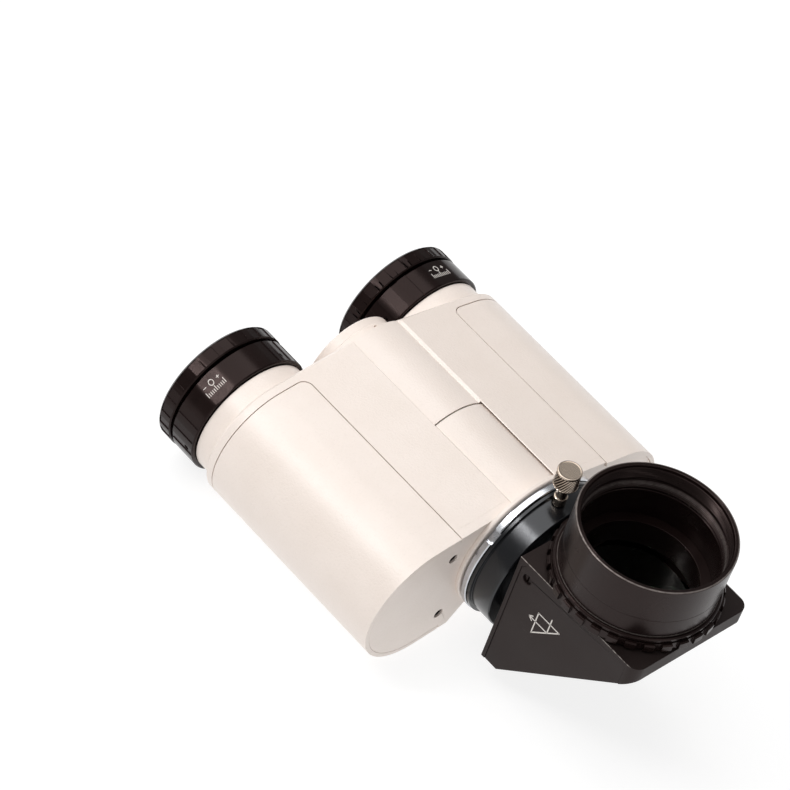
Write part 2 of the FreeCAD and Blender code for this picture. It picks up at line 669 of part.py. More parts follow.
def clamp_pin():
    """The brass pin that the thumbscrew pushes into the dovetail."""
    low = SPIGOT_R - DOVETAIL_DEPTH + PIN_GAP
    tip = Part.makeCone(PIN_R - PIN_TIP, PIN_R, PIN_TIP, V(0, SCREW_Y, low), Z_AXIS)
    return lean(tip.fuse(upright(PIN_R, low + PIN_TIP, PIN_TOP_R)).removeSplitter())


def thumbscrew():
    """The knurled thumbscrew, head up."""
    head_low = SCREW_TOP_R - SCREW_HEAD_H
    collar_low, collar_high = SCREW_COLLAR
    body = turned([
        (0, SCREW_TIP), (SCREW_THREAD_R, SCREW_TIP), (SCREW_THREAD_R, collar_low),
        (SCREW_COLLAR_R, collar_low), (SCREW_COLLAR_R, collar_high), (SCREW_NECK_R, collar_high),
        (SCREW_NECK_R, head_low), (SCREW_HEAD_R - EDGE, head_low), (SCREW_HEAD_R, head_low + EDGE),
        (SCREW_HEAD_R, SCREW_TOP_R - EDGE), (SCREW_HEAD_R - EDGE, SCREW_TOP_R), (0, SCREW_TOP_R)], Z_AXIS)
    groove = Part.makeCylinder(KNURL_R, SCREW_HEAD_H, V(SCREW_HEAD_R + FIT, 0, head_low), Z_AXIS)
    for cutter in around(groove, SCREW_KNURLS, 0, Z_AXIS):
        body = body.cut(cutter)
    return lean(shift(body, 0, SCREW_Y, 0))


# --- Prism diagonal --------------------------------------------------------------------------
def diagonal_outline():
    """The diagonal's outer side outline as (y, z) points."""
    return [(DIAG_REAR_Y, DIAG_TOP_Z), (DIAG_REAR_Y, DIAG_LOW_Z), (DIAG_REAR_Y - DIAG_CHAMFER, DIAG_LOW_Z),
            (DIAG_FRONT_Y, DIAG_LIP_Z), (DIAG_FRONT_Y, DIAG_TOP_Z)]


def prism_room_outline():
    """The hollow for the prism, inside the walls."""
    rear = DIAG_REAR_Y - DIAG_WALL
    low = DIAG_LOW_Z + DIAG_WALL
    top = DIAG_TOP_Z - DIAG_WALL
    inward = UNDER_WALL * math.hypot(1, 1 / UNDER_SLOPE)
    low_y = DIAG_FRONT_Y + (DIAG_LIP_Z - low) / UNDER_SLOPE + inward
    front_z = DIAG_LIP_Z - (ROOM_FRONT_Y - inward - DIAG_FRONT_Y) * UNDER_SLOPE
    return [(rear, top), (rear, low), (low_y, low), (ROOM_FRONT_Y, front_z), (ROOM_FRONT_Y, top)]


def side_cover_outline(inset):
    """The side cover's pocket: rimmed at the rear, top and front, open on the sloping underside."""
    rear = DIAG_REAR_Y - SIDE_COVER_RIM - inset
    top = DIAG_TOP_Z - SIDE_COVER_RIM - inset
    front = DIAG_FRONT_Y + DIAG_CORNER_R + SIDE_COVER_GAP + inset
    below = DIAG_LOW_Z - PAST
    return [(rear - COVER_CORNER, top), (rear, top - COVER_CORNER), (rear, below), (front, below),
            (front, top)]


def side_cover(side):
    """A flush side cover of the diagonal: side is +1 or -1 in X."""
    outer = DIAG_HALF_W - COVER_SUNK
    plate = slab_yz(side_cover_outline(FIT), outer - SIDE_COVER_T, outer)
    plate = plate.common(slab_yz(diagonal_outline(), 0, DIAG_HALF_W))
    plate = plate.cut(across(COVER_HEAD_R + FIT, outer - COVER_HEAD_SEAT, outer + PAST))
    plate = plate.cut(across(COVER_SHANK_R + FIT, outer - SIDE_COVER_T - PAST, outer + PAST))
    return plate if side > 0 else plate.mirror(V(0, 0, 0), X_AXIS)


def across(radius, x0, x1):
    """A cylinder along X at the side cover screw's place."""
    return Part.makeCylinder(radius, x1 - x0, V(x0, COVER_SCREW_Y, COVER_SCREW_Z), X_AXIS)


def side_cover_screws():
    """The slotted screw of each side cover."""
    outer = DIAG_HALF_W - COVER_SUNK
    seat = outer - COVER_HEAD_SEAT
    face = outer - COVER_HEAD_SUNK
    half = COVER_SLOT / 2
    slot = box(face - COVER_SLOT_DEPTH, outer, COVER_SCREW_Y - half, COVER_SCREW_Y + half,
               COVER_SCREW_Z - COVER_HEAD_R - FIT, COVER_SCREW_Z + COVER_HEAD_R + FIT)
    screw = across(COVER_HEAD_R, seat, face).fuse(across(COVER_SHANK_R, seat - COVER_SHANK_L, seat))
    screw = screw.cut(slot).removeSplitter()
    return Part.makeCompound([screw, screw.mirror(V(0, 0, 0), X_AXIS)])


def screw_post():
    """The corner post that takes the side cover screws."""
    half = DIAG_HALF_W - SIDE_COVER_T - COVER_SUNK - FIT
    low = DIAG_PRISM / 2 + PRISM_PLAY
    return box(-half, half, COVER_SCREW_Y - POST_HALF_Y, DIAG_REAR_Y - DIAG_WALL + EDGE,
               low, DIAG_TOP_Z - DIAG_WALL + EDGE)


def diagonal_body():
    """The diagonal's housing, open on both sides for its covers."""
    block = slab_yz(diagonal_outline(), -DIAG_HALF_W, DIAG_HALF_W)
    block = block.cut(slab_yz(prism_room_outline(), -DIAG_HALF_W - PAST, DIAG_HALF_W + PAST))
    floor_x = DIAG_HALF_W - SIDE_COVER_T - COVER_SUNK - FIT
    pocket = slab_yz(side_cover_outline(0), floor_x, DIAG_HALF_W + PAST)
    block = block.cut(pocket).cut(pocket.mirror(V(0, 0, 0), X_AXIS))
    plan = box(-DIAG_HALF_W, DIAG_HALF_W, DIAG_FRONT_Y, DIAG_REAR_Y, DIAG_LOW_Z, DIAG_TOP_Z)
    front_corners = [edge for edge in plan.Edges
                     if edge.BoundBox.ZLength > PAST and edge.BoundBox.YMax < DIAG_FRONT_Y + PAST]
    block = block.common(plan.makeFillet(DIAG_CORNER_R, front_corners))
    block = block.fuse(screw_post()).cut(across(COVER_SHANK_R + FIT, -DIAG_HALF_W, DIAG_HALF_W))
    block = block.cut(rod(NECK_R + FIT, DIAG_REAR_Y - DIAG_WALL - PAST, DIAG_REAR_Y + PAST))
    port_foot = V(0, NOSE_Y, DIAG_TOP_Z - DIAG_WALL - PAST)
    port = Part.makeCylinder(PORT_R, DIAG_WALL + 2 * PAST, port_foot, Z_AXIS)
    return block.cut(port).removeSplitter()


def prism_outline(inset):
    """The right-angle prism's (y, z) outline, its long face at 45 degrees through the axes."""
    half = DIAG_PRISM / 2
    rear = NOSE_Y + half - inset
    top = half - inset
    long_leg = DIAG_PRISM - inset * (2 + math.sqrt(2))
    return [(rear, top), (rear, top - long_leg), (rear - long_leg, top)]


def right_angle_prism():
    """The 90 degree prism of the diagonal."""
    return slab_yz(prism_outline(0), -DIAG_PRISM / 2, DIAG_PRISM / 2)


def backing_plate():
    """The sprung plate behind the prism's long face."""
    half = DIAG_PRISM / 2 - BACKING_INSET
    plate = box(-half, half, -half, half, -BACKING_T - PRISM_PLAY, -PRISM_PLAY)
    plate = turn(plate, -45, X_AXIS)
    return shift(plate, 0, NOSE_Y, 0)


def prism_pads():
    """Cork pads between the prism's sides and the side covers."""
    inner = DIAG_PRISM / 2 + PRISM_PLAY
    pad = slab_yz(prism_outline(PAD_INSET), inner, inner + PAD_T)
    return Part.makeCompound([pad, pad.mirror(V(0, 0, 0), X_AXIS)])


# --- Nosepiece, drawn about its own axis along Z ---------------------------------------------
def on_nose_axis(shape):
    """Move a shape drawn about Z to the nosepiece axis."""
    return shift(shape, 0, NOSE_Y, 0)


def nosepiece_seat():
    """The threaded seat that joins the nosepiece to the diagonal."""
    return turned([
        (SEAT_BORE_R, DIAG_TOP_Z - DIAG_WALL), (PORT_R - FIT, DIAG_TOP_Z - DIAG_WALL),
        (PORT_R - FIT, SEAT_LIP_Z), (SEAT_LIP_R, SEAT_LIP_Z),
        (SEAT_LIP_R, NOSE_SHOULDER_Z - EDGE), (SEAT_LIP_R - EDGE, NOSE_SHOULDER_Z),
        (SEAT_BORE_R, NOSE_SHOULDER_Z)], Z_AXIS)


def nosepiece_tube():
    """The 2 inch barrel with its filter thread."""
    step_z = NOSE_SHOULDER_Z + NOSE_STEP_H
    thread_z = NOSE_END_Z - FILTER_DEPTH
    return turned([
        (NOSE_BORE_R - NOSE_STEP, NOSE_SHOULDER_Z), (NOSE_R, NOSE_SHOULDER_Z),
        (NOSE_R, NOSE_END_Z - NOSE_END_BEVEL), (NOSE_R - NOSE_END_BEVEL, NOSE_END_Z),
        (FILTER_R, NOSE_END_Z), (FILTER_R, thread_z), (NOSE_BORE_R, thread_z - FILTER_RUNOUT),
        (NOSE_BORE_R, step_z + NOSE_STEP), (NOSE_BORE_R - NOSE_STEP, step_z)], Z_AXIS)


def lock_ring():
    """The notched ring that locks the nosepiece's turn."""
    ring = turned([
        (PORT_R + FIT, LOCK_Z0), (LOCK_R - EDGE, LOCK_Z0), (LOCK_R, LOCK_Z0 + EDGE),
        (LOCK_R, LOCK_Z1 - EDGE), (LOCK_R - EDGE, LOCK_Z1), (PORT_R + FIT, LOCK_Z1)], Z_AXIS)
    half = LOCK_NOTCH_W / 2
    notch = box(LOCK_R - LOCK_NOTCH_DEPTH, LOCK_R + PAST, -half, half, LOCK_Z0 - PAST, LOCK_Z1 + PAST)
    for cutter in around(notch, LOCK_NOTCHES, 0, Z_AXIS):
        ring = ring.cut(cutter)
    return ring.removeSplitter()


# --- Hinge -----------------------------------------------------------------------------------
def hinge_sleeve():
    """The hollow hinge pin, fixed in the front knuckle."""
    outer = KNUCKLE_BORE_R - SNUG
    return turned([
        (SLEEVE_BORE_R, SLEEVE_Y0), (outer, SLEEVE_Y0), (outer, SLEEVE_STEP_Y),
        (SLEEVE_NECK_R, SLEEVE_STEP_Y), (SLEEVE_NECK_R, SLEEVE_END_Y), (SLEEVE_BORE_R, SLEEVE_END_Y)])


def hinge_retainer():
    """The threaded ring that keeps the halves together."""
    ring = pipe(KNUCKLE_BORE_R - EDGE, SLEEVE_NECK_R + SNUG, RETAINER_Y0, SLEEVE_END_Y)
    half = SPANNER_SLOT / 2
    slot = box(-half, half, SLEEVE_END_Y - PAST, SLEEVE_END_Y + PAST, -KNUCKLE_R, KNUCKLE_R)
    return ring.cut(slot)


def knuckle_shoulder():
    """The inner shoulder of the rear knuckle that the retainer holds."""
    return pipe(KNUCKLE_BORE_R + EDGE, SLEEVE_NECK_R + FIT, SLEEVE_STEP_Y + SHOULDER_GAP, SHOULDER_Y1)


def hinge_cap():
    """The stepped cap on the rear knuckle."""
    dish_r = CAP_R - CAP_DISH_RIM
    dish_y = CAP_END_Y - CAP_DISH_DEPTH
    plug_r = KNUCKLE_BORE_R - FIT
    cap = turned([
        (0, KNUCKLE_END_Y), (CAP_STEP_R, KNUCKLE_END_Y), (CAP_STEP_R, CAP_STEP_Y - EDGE),
        (CAP_STEP_R - EDGE, CAP_STEP_Y), (CAP_R, CAP_STEP_Y), (CAP_R, CAP_END_Y - EDGE),
        (CAP_R - EDGE, CAP_END_Y), (dish_r, CAP_END_Y), (dish_r, dish_y), (0, dish_y)])
    cap = cap.fuse(rod(plug_r, KNUCKLE_END_Y - CAP_PLUG_T, KNUCKLE_END_Y))
    cap = cap.fuse(pipe(plug_r, plug_r - CAP_SKIRT_T, KNUCKLE_END_Y - CAP_SKIRT_L, KNUCKLE_END_Y))
    middle_y = (KNUCKLE_END_Y + CAP_STEP_Y) / 2
    hole_foot = V(0, middle_y, CAP_STEP_R - CAP_SKIRT_T)
    hole = Part.makeCylinder(CAP_HOLE_R, CAP_SKIRT_T + PAST, hole_foot, Z_AXIS)
    return cap.cut(turn(hole, CAP_HOLE_ANGLE)).removeSplitter()


# --- Assembly --------------------------------------------------------------------------------
def place(shape, side):
    """Put a shape drawn on the +X side on the left (+1) or right (-1) half, with its droop."""
    if side > 0:
        return turn(shape, LEFT_DROOP)
    return turn(shape.mirror(V(0, 0, 0), X_AXIS), -RIGHT_DROOP)


def on_eye_axis(shape):
    """Move a shape drawn about Y to the eyepiece axis."""
    return shift(shape, EYE_X, 0, EYE_Z)


def build_half(side, name):
    """Write every piece of one half."""
    rear_knuckle_y = KNUCKLE_SPLIT_Y + KNUCKLE_GAP
    if side < 0:
        body, room = frame(0, KNUCKLE_SPLIT_Y, KNUCKLE_SPLIT_Y, HOUSING_REAR_Y + PAST, -PAST, RIGHT_PRISM_Y)
        plate = front_plate(PLATE_FRONT_Y, KNUCKLE_R + FIT)
        glass = right_path_prism()
        prism_y = RIGHT_PRISM_Y
    else:
        body, room = frame(rear_knuckle_y, KNUCKLE_END_Y, 0, rear_knuckle_y,
                           rear_knuckle_y - PAST, LEFT_PRISM_Y)
        body = body.fuse(knuckle_shoulder()).removeSplitter()
        plate = front_plate(LEFT_FACE_GAP, KNUCKLE_CLEAR_R)
        glass = left_path_prism()
        prism_y = LEFT_PRISM_Y
    pieces = {
        "frame": body,
        "cover": cover(),
        "front_plate": plate,
        "plate_screws": plate_screws(),
        "path_prism": glass,
        "prism_cradle": cradle(prism_y, room),
        "prism_clip": clip(prism_y, room),
        "collar": on_eye_axis(collar()),
        "light_baffle": on_eye_axis(light_baffle()),
        "focus_ring": on_eye_axis(focus_ring(FOCUS_FACE_ANGLE[name], SENSE[name])),
        "focus_set_screws": on_eye_axis(focus_set_screws(FOCUS_FACE_ANGLE[name], SENSE[name])),
        "eyepiece_tube": on_eye_axis(eyepiece_tube()),
        "clamp_collet": on_eye_axis(clamp_collet()),
        "clamp_ring": on_eye_axis(clamp_ring(CLAMP_FLUTE_ANGLE[name])),
    }
    for piece, shape in pieces.items():
        save(name + "_" + piece, place(shape, side))


def build_hinge():
    """Write the hinge, the beam splitter and the bayonet."""
    save("splitter_cell", place(splitter_cell(), -1))
    save("splitter_prism", place(splitter_prism(), -1))
    save("splitter_retainer", pipe(KNUCKLE_BORE_R - FIT, PRISM / 2, SPLITTER_RETAINER_Y, CELL_Y0))
    save("hinge_sleeve", hinge_sleeve())
    save("hinge_washer", pipe(KNUCKLE_R - EDGE, KNUCKLE_BORE_R, KNUCKLE_SPLIT_Y, KNUCKLE_SPLIT_Y + WASHER_T))
    save("hinge_retainer", hinge_retainer())
    save("hinge_cap", hinge_cap())
    save("entrance_flange", entrance_flange())
    save("bayonet_ring", bayonet_ring())
    save("bayonet_screws", bayonet_screws())


def build_diagonal():
    """Write the quick-change ring, the prism diagonal and the nosepiece."""
    save("quick_change_ring", quick_change_ring())
    save("clamp_pin", clamp_pin())
    save("thumbscrew", thumbscrew())
    save("neck_ring", pipe(NECK_R, NECK_BORE_R, NECK_FRONT_Y, SPIGOT_END_Y - SPIGOT_GAP - FIT))
    save("diagonal_body", diagonal_body())
    save("diagonal_left_cover", side_cover(1))
    save("diagonal_right_cover", side_cover(-1))
    save("side_cover_screws", side_cover_screws())
    save("right_angle_prism", right_angle_prism())
    save("prism_backing_plate", backing_plate())
    save("prism_pads", prism_pads())
    save("nosepiece_seat", on_nose_axis(nosepiece_seat()))
    save("nosepiece_tube", on_nose_axis(nosepiece_tube()))
    save("nosepiece_lock_ring", on_nose_axis(lock_ring()))


os.makedirs("parts", exist_ok=True)
build_half(-1, "right")
build_half(1, "left")
build_hinge()
build_diagonal()
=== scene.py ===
import json
import math

import bmesh
import bpy
from mathutils import Matrix, Vector

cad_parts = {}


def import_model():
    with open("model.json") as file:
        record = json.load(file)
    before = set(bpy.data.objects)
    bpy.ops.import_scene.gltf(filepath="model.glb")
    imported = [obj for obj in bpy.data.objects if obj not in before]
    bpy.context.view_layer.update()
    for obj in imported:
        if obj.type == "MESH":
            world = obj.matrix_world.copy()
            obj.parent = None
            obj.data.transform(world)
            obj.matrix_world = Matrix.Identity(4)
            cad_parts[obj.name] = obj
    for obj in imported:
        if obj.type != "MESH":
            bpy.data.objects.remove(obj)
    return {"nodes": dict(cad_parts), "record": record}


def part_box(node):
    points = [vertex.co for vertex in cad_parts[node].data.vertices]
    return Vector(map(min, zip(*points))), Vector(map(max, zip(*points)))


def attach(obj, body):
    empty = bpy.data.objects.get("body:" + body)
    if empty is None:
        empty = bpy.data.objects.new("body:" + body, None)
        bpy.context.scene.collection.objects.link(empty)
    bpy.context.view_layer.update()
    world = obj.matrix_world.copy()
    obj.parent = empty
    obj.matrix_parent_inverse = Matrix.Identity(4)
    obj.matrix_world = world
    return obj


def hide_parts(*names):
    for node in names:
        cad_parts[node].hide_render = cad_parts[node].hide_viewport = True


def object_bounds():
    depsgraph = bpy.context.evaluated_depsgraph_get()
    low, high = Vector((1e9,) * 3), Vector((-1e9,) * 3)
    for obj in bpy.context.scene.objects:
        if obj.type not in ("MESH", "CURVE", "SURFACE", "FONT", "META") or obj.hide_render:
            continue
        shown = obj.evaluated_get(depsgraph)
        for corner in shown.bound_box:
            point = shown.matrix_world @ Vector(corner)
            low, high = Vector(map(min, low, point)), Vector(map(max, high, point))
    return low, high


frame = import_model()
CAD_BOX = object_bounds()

# Binocular viewer with a prism diagonal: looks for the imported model.
# Lengths are millimetres in the part's frame unless a comment says metres.
MM = 0.001
NODES = frame["nodes"]
HINGE_Z = -28.6              # height of the hinge and light axis; the axis runs along Y through x = 0
FACE_Y = 42.6                # plane of the housings' front faces
SCREW_Y = FACE_Y - 8.6       # thumbscrew axis, along the light axis
SCREW_LEAN = -2.8            # degrees from straight up
NOSE_R = 25.4                # 2 inch barrel
NOSE_END = 20.4
HEAD_LOW = 34.5              # thumbscrew head, from the light axis
HEAD_TOP = 41.1
HEAD_R = 4.0


def axis_of(node):
    """The (x, z) centre of a node that is turned about Y."""
    low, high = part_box(node)
    return (low[0] + high[0]) / 2 / MM, (low[2] + high[2]) / 2 / MM


EYE = {side: axis_of(side + "_clamp_ring") for side in ("right", "left")}


# --- Shader helpers ----------------------------------------------------------------------------
class Nodes:
    """A small wrapper that adds shader nodes and links them in one call."""

    def __init__(self, name):
        self.material = bpy.data.materials.new(name)
        self.material.use_nodes = True
        self.tree = self.material.node_tree
        self.tree.nodes.clear()
        self.out = self.tree.nodes.new("ShaderNodeOutputMaterial")

    def add(self, kind, inputs=None, **settings):
        """Add a node: inputs maps socket names or numbers to values or to other sockets."""
        node = self.tree.nodes.new("ShaderNode" + kind)
        for key, value in settings.items():
            setattr(node, key, value)
        for key, value in (inputs or {}).items():
            socket = node.inputs[key]
            if isinstance(value, bpy.types.NodeSocket):
                self.tree.links.new(value, socket)
            else:
                socket.default_value = value
        return node

    def maths(self, operation, a, b=0.0, c=0.0):
        """A Math node's output."""
        return self.add("Math", {0: a, 1: b, 2: c}, operation=operation).outputs[0]

    def place(self):
        """Object coordinates in metres, in the part's frame at rest."""
        return self.add("TexCoord").outputs["Object"]

    def scaled(self, vector, scale):
        """The vector times a per-axis scale."""
        return self.add("VectorMath", {0: vector, 1: scale}, operation="MULTIPLY").outputs[0]

    def part(self, vector, index):
        """One component of a vector."""
        return self.add("SeparateXYZ", {0: vector}).outputs[index]

    def noise(self, vector, scale, detail=2.0, roughness=0.5):
        """A noise texture's factor."""
        return self.add("TexNoise", {"Vector": vector, "Scale": scale, "Detail": detail,
                                     "Roughness": roughness}).outputs["Fac"]

    def ramp(self, factor, low, high, to_low=0.0, to_high=1.0):
        """The factor remapped and clamped."""
        return self.add("MapRange", {"Value": factor, "From Min": low, "From Max": high,
                                     "To Min": to_low, "To Max": to_high}).outputs[0]

    def near(self, value, centre, reach):
        """One where the value is at the centre, falling to nothing at the given distance."""
        gap = self.maths("ABSOLUTE", self.maths("SUBTRACT", value, centre))
        return self.ramp(gap, 0.0, reach, 1.0, 0.0)

    def blend(self, factor, a, b):
        """A colour mix."""
        node = self.add("Mix", {0: factor}, data_type="RGBA")
        for index, colour in ((6, a), (7, b)):
            if isinstance(colour, bpy.types.NodeSocket):
                self.tree.links.new(colour, node.inputs[index])
            else:
                node.inputs[index].default_value = (*colour, 1.0)
        return node.outputs[2]

    def bump(self, height, distance, strength):
        """A bump node's normal; the distance is in metres."""
        return self.add("Bump", {"Height": height, "Distance": distance,
                                 "Strength": strength}).outputs[0]

    def finish(self, **inputs):
        """The Principled shader; keys are socket names with underscores."""
        values = {}
        for key, value in inputs.items():
            if isinstance(value, tuple) and len(value) == 3:
                value = (*value, 1.0)
            values[key.replace("_", " ")] = value
        shader = self.add("BsdfPrincipled", values)
        self.tree.links.new(shader.outputs[0], self.out.inputs[0])
        return self.material


# --- Materials ---------------------------------------------------------------------------------
# Each black is a pair: the dye, and where it is a little lighter.
WARM_BLACK = ((0.0062, 0.0034, 0.0031), (0.0095, 0.0054, 0.0049))
COOL_BLACK = ((0.0040, 0.0042, 0.0052), (0.0062, 0.0064, 0.0076))
WARM_TINT = (1.0, 0.74, 0.70)       # of the reflections on the warm blacks
COOL_TINT = (0.95, 0.97, 1.0)
HINGE = (0.0, 0.0, HINGE_Z)
ALONG_Y = (0.0, 1.0, 0.0)
ALONG_Z = (0.0, 0.0, 1.0)
SCREW_AXIS = (math.sin(math.radians(SCREW_LEAN)), 0.0, math.cos(math.radians(SCREW_LEAN)))
SCREW_BASE = (0.0, SCREW_Y, HINGE_Z)


def paint():
    """Cream powder coat: fine orange peel, faint mottling, gloss that varies with handling."""
    n = Nodes("paint_cream")
    place = n.place()
    grain = n.noise(place, 1300.0, 3.0, 0.55)
    pimple = n.noise(place, 3600.0, 1.0, 0.4)
    cloud = n.noise(place, 55.0, 3.0, 0.6)
    rub = n.noise(place, 160.0, 5.0, 0.7)
    speck = n.noise(place, 700.0, 2.0, 0.5)
    height = n.maths("MULTIPLY_ADD", pimple, 0.35, grain)
    colour = n.blend(n.ramp(cloud, 0.35, 0.65), (0.860, 0.765, 0.700), (0.835, 0.738, 0.670))
    colour = n.blend(n.ramp(grain, 0.30, 0.46, 0.10, 0.0), colour, (0.60, 0.52, 0.46))
    colour = n.blend(n.ramp(speck, 0.84, 0.88, 0.0, 0.15), colour, (0.40, 0.34, 0.29))
    return n.finish(Base_Color=colour, Roughness=n.ramp(rub, 0.3, 0.7, 0.29, 0.36),
                    Normal=n.bump(height, 0.00010, 0.80), Specular_IOR_Level=0.55)


def turned_place(n, axis, centre):
    """Object coordinates, and the same folded to (radius, height) for lathe marks."""
    place = n.place()
    offset = n.add("VectorMath", {0: place, 1: tuple(-c * MM for c in centre)},
                   operation="ADD").outputs[0]
    along = n.add("VectorMath", {0: offset, 1: axis}, operation="DOT_PRODUCT").outputs["Value"]
    axial = n.add("VectorMath", {0: axis, "Scale": along}, operation="SCALE").outputs[0]
    radial = n.add("VectorMath", {0: offset, 1: axial}, operation="SUBTRACT").outputs[0]
    across = n.add("VectorMath", {0: radial}, operation="LENGTH").outputs["Value"]
    lines = n.add("CombineXYZ", {0: across, 1: along, 2: 0.0}).outputs[0]
    return place, lines


def anodised(name, base, lit, rough, axis=None, centre=(0, 0, 0), marks=0.12, gloss=0.16,
             tint=WARM_TINT):
    """Dyed anodised aluminium, with lathe marks on turned pieces and a fine blasted grain on others."""
    n = Nodes(name)
    if axis:
        place, lines = turned_place(n, axis, centre)
        fine = n.noise(lines, 9000.0, 2.0, 0.6)
    else:
        place = n.place()
        fine = n.noise(place, 5200.0, 2.0, 0.6)
    cloud = n.noise(place, 90.0, 3.0, 0.6)
    dust = n.noise(place, 2400.0, 3.0, 0.7)
    smear = n.noise(place, 260.0, 4.0, 0.65)
    colour = n.blend(n.ramp(cloud, 0.35, 0.7), base, lit)
    colour = n.blend(n.ramp(dust, 0.72, 0.82, 0.0, 0.15), colour, (0.10, 0.09, 0.085))
    return n.finish(Base_Color=colour, Roughness=n.ramp(smear, 0.3, 0.7, rough - 0.02, rough + 0.03),
                    Normal=n.bump(fine, 0.00002, marks), Specular_IOR_Level=gloss,
                    Specular_Tint=tint)


def barrel_with_wear_and_painted_highlights():
    """The nosepiece's satin black. Its rim and bottom lip are painted lighter, as rubbed metal and painted
    highlight together, and the crests of its fine ridges carry painted highlights.
    """
    n = Nodes("anodised_barrel")
    place, lines = turned_place(n, ALONG_Z, (0, 0, 0))
    radius = n.part(lines, 0)
    height = n.part(lines, 1)
    fine = n.noise(lines, 9000.0, 2.0, 0.6)
    cloud = n.noise(place, 90.0, 3.0, 0.6)
    chip = n.noise(place, 520.0, 4.0, 0.7)
    # The lighter places, by height and radius in metres: rubbed metal plus painted highlight on the rim
    # and lip, painted highlight only on the ridge crests.
    rim = n.maths("MULTIPLY", n.near(height, NOSE_END * MM, 0.00030), n.near(radius, 0.02525, 0.00045))
    lip = n.maths("MULTIPLY", n.near(height, 0.0001, 0.00025), n.near(radius, 0.02535, 0.00030))
    crest_highlight = n.maths("MULTIPLY", n.near(height, 0.0129, 0.0018), n.near(radius, 0.0231, 0.00030))
    wear_and_highlight = n.maths("MULTIPLY_ADD", crest_highlight, 0.55, n.maths("ADD", rim, lip))
    wear_and_highlight = n.maths("MULTIPLY", wear_and_highlight, n.ramp(chip, 0.35, 0.6, 0.45, 1.0))
    colour = n.blend(n.ramp(cloud, 0.35, 0.7), *WARM_BLACK)
    # Painted highlight, partly rubbed metal: the masked places get a lighter, more metallic colour.
    colour = n.blend(n.maths("MINIMUM", wear_and_highlight, 1.0), colour, (0.34, 0.30, 0.28))
    return n.finish(Base_Color=colour, Roughness=n.ramp(cloud, 0.3, 0.7, 0.24, 0.28),
                    Metallic=n.maths("MULTIPLY", wear_and_highlight, 0.7), Normal=n.bump(fine, 0.00002, 0.1),
                    Specular_IOR_Level=0.24, Specular_Tint=WARM_TINT)


def worn_charcoal():
    """The diagonal's blasted charcoal finish, rubbed bare along its long upper edges."""
    n = Nodes("anodised_charcoal")
    place = n.place()
    fine = n.noise(place, 4200.0, 3.0, 0.65)
    cloud = n.noise(place, 70.0, 3.0, 0.6)
    dust = n.noise(place, 1900.0, 3.0, 0.7)
    chip = n.noise(place, 800.0, 4.0, 0.7)
    side = n.near(n.maths("ABSOLUTE", n.part(place, 0)), 0.02475, 0.00022)
    top = n.near(n.part(place, 2), -0.0050, 0.00022)
    edge = n.maths("MULTIPLY", n.maths("MULTIPLY", side, top), n.ramp(chip, 0.40, 0.56, 0.15, 1.0))
    scuff = n.noise(n.scaled(place, (1.0, 0.25, 1.0)), 420.0, 5.0, 0.75)    # drawn out along Y
    colour = n.blend(n.ramp(cloud, 0.35, 0.7), (0.0085, 0.0055, 0.0050), (0.0135, 0.0095, 0.0088))
    colour = n.blend(n.ramp(dust, 0.68, 0.80, 0.0, 0.3), colour, (0.16, 0.15, 0.145))
    colour = n.blend(n.ramp(scuff, 0.66, 0.80, 0.0, 0.25), colour, (0.10, 0.095, 0.09))
    colour = n.blend(edge, colour, (0.55, 0.50, 0.46))
    return n.finish(Base_Color=colour, Metallic=n.maths("MULTIPLY", edge, 0.8),
                    Roughness=n.ramp(cloud, 0.3, 0.7, 0.46, 0.58),
                    Normal=n.bump(fine, 0.00003, 0.30), Specular_IOR_Level=0.28,
                    Specular_Tint=(1.0, 0.80, 0.77))


def bright(name, tint, rough, axis, centre=(0, 0, 0), marks=0.2, groove_shade_radii=None):
    """Turned bright metal with faint tarnish.

    The optional pair of radii places painted shade in the thumbscrew's knurl grooves: full below the first
    radius, gone by the second.
    """
    n = Nodes(name)
    place, lines = turned_place(n, axis, centre)
    fine = n.noise(lines, 7000.0, 3.0, 0.65)
    cloud = n.noise(place, 220.0, 4.0, 0.65)
    dark = tuple(c * 0.80 for c in tint)
    colour = n.blend(n.ramp(cloud, 0.3, 0.75), tint, dark)
    if groove_shade_radii:
        # Painted shade in the knurl grooves, only on the side of the screw and its head: not on the head's
        # top edge, and not near the axis.
        radius = n.part(lines, 0)
        painted_groove_shade = n.ramp(radius, groove_shade_radii[0] * MM, groove_shade_radii[1] * MM, 1.0, 0.0)
        body = n.ramp(n.part(lines, 1), (HEAD_TOP - 0.75) * MM, (HEAD_TOP - 0.65) * MM, 1.0, 0.0)
        body = n.maths("MULTIPLY", body, n.ramp(radius, 2.9 * MM, 3.0 * MM))
        colour = n.blend(n.maths("MULTIPLY", painted_groove_shade, body), colour, tuple(c * 0.10 for c in tint))
    return n.finish(Base_Color=colour, Metallic=1.0,
                    Roughness=n.ramp(cloud, 0.3, 0.7, rough, rough + 0.08),
                    Normal=n.bump(fine, 0.00002, marks))


def glass():
    """Coated optical glass with a faint green bloom on the faces."""
    n = Nodes("glass")
    speck = n.noise(n.place(), 900.0, 4.0, 0.7)
    return n.finish(Base_Color=(0.86, 0.95, 0.92), Transmission_Weight=1.0, IOR=1.52,
                    Roughness=n.ramp(speck, 0.62, 0.85, 0.0, 0.06),
                    Coat_Weight=0.35, Coat_Roughness=0.02, Coat_Tint=(0.72, 0.95, 0.80))


def soft(name, base, dark, rough, scale, depth):
    """Cork, rubber or polymer."""
    n = Nodes(name)
    cell = n.noise(n.place(), scale, 4.0, 0.65)
    colour = n.blend(n.ramp(cell, 0.35, 0.65), dark, base)
    return n.finish(Base_Color=colour, Roughness=rough, Normal=n.bump(cell, depth, 0.5))


